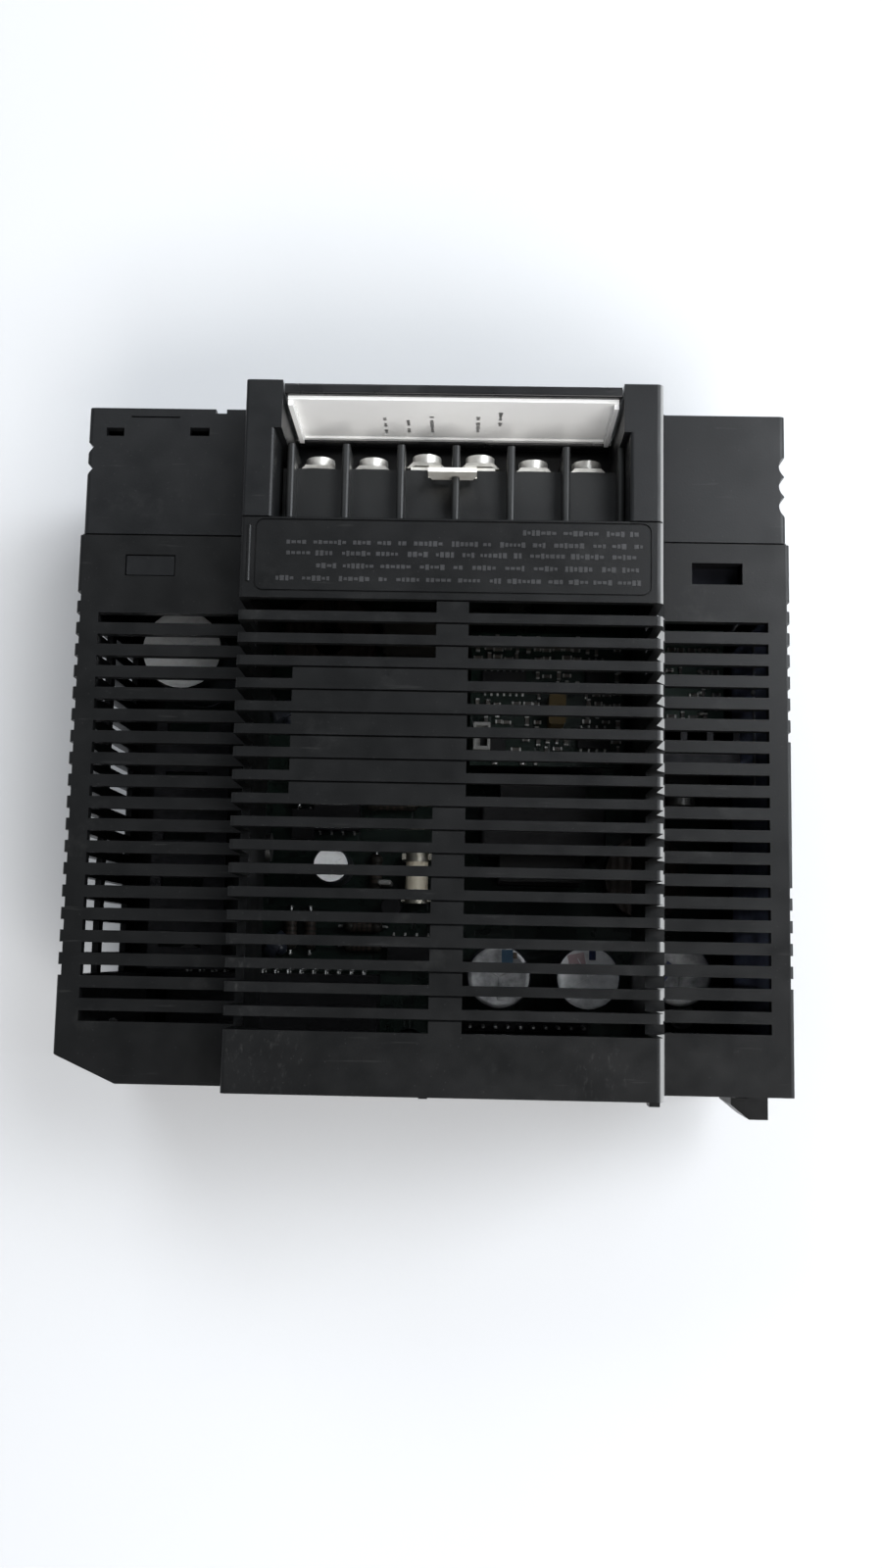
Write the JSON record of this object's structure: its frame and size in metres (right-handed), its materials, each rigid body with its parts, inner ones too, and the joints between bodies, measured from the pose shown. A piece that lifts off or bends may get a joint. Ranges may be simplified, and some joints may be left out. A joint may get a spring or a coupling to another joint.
{
  "type": "plug-in power supply module",
  "caption": "Louvred plug-in power supply module with side terminal block, hinged terminal door, rear hook and release lever.",
  "frame": {"origin": "middle of the footprint, on the surface the module's left side rests on", "axes": "+X towards the module's top end, +Y towards its front face, +Z towards its right side"},
  "size_m": [0.1304, 0.1306, 0.0623],
  "materials": {
    "case_plastic": "fine moulded texture",
    "terminal_plastic": "moulded",
    "door_plastic": "satin",
    "label_plastic": "printed white",
    "plated_steel": "bright plated",
    "screw_steel": "plated",
    "strap_metal": "satin plated",
    "pin_steel": "ground",
    "spring_steel": "drawn",
    "circuit_board": "solder mask",
    "capacitor_sleeve": "sleeve",
    "fuse_ceramic": "ceramic",
    "plated_brass": "plated",
    "ferrite": "ground ferrite",
    "bobbin_plastic": "moulded",
    "winding_tape": "taped",
    "dark_aluminium": "black anodised",
    "component_epoxy": "moulded",
    "copper_winding": "enamelled wire",
    "iron_powder": "coated core",
    "box_capacitor": "moulded box",
    "film_dip": "dipped",
    "connector_plastic": "moulded",
    "lens_plastic": "smoked clear",
    "lamp_plastic": "diffused",
    "lever_plastic": "moulded"
  },
  "bodies": {
    "housing": {"left_shell": "case_plastic", "right_cover": "case_plastic", "front_bezel": "case_plastic", "terminal_block": "terminal_plastic", "terminal_plates": "plated_steel", "saddle_clamps": "plated_steel", "terminal_screws": "screw_steel", "jumper_strap": "strap_metal", "door_hinge_pins": "pin_steel", "main_board": "circuit_board", "board_spacers": "case_plastic", "board_screws": "screw_steel", "bulk_capacitor": "capacitor_sleeve", "output_capacitor_1": "capacitor_sleeve", "output_capacitor_2": "capacitor_sleeve", "output_capacitor_3": "capacitor_sleeve", "small_capacitor": "capacitor_sleeve", "fuse_body": "fuse_ceramic", "fuse_caps": "plated_brass", "fuse_clips": "plated_brass", "transformer_core": "ferrite", "transformer_bobbin": "bobbin_plastic", "transformer_winding": "winding_tape", "primary_heatsink": "dark_aluminium", "output_heatsink": "dark_aluminium", "switching_transistor": "component_epoxy", "output_rectifier": "component_epoxy", "heatsink_screws": "screw_steel", "choke_core": "ferrite", "choke_winding": "copper_winding", "inductor_core": "iron_powder", "inductor_winding": "copper_winding", "input_capacitor": "box_capacitor", "control_board": "circuit_board", "control_headers": "component_epoxy", "film_capacitor": "film_dip", "backplane_connector": "connector_plastic", "connector_pins": "plated_brass", "indicator_lens": "lens_plastic", "indicator_board": "circuit_board", "indicator_lamps": "lamp_plastic", "lever_pin": "pin_steel", "lever_spring": "spring_steel", "case_screws": "screw_steel"},
    "door": {"terminal_door": "door_plastic", "door_label_tray": "label_plastic"},
    "lever": {"release_lever": "lever_plastic"}
  },
  "joints": [
    {"name": "door_hinge", "type": "hinge", "parent": "housing", "child": "door", "pos_m": [0, 0.0634, 0.038], "axis": [-1, 0, 0], "range_deg": [0, 110]},
    {"name": "lever_pivot", "type": "hinge", "parent": "housing", "child": "lever", "pos_m": [-0.0606, -0.0499, 0.018], "axis": [0, 0, -1], "range_deg": [0, 12], "stiffness_Nm_per_rad": 0.005, "springref_deg": -8.59, "deforming": ["lever_spring"]}
  ]
}
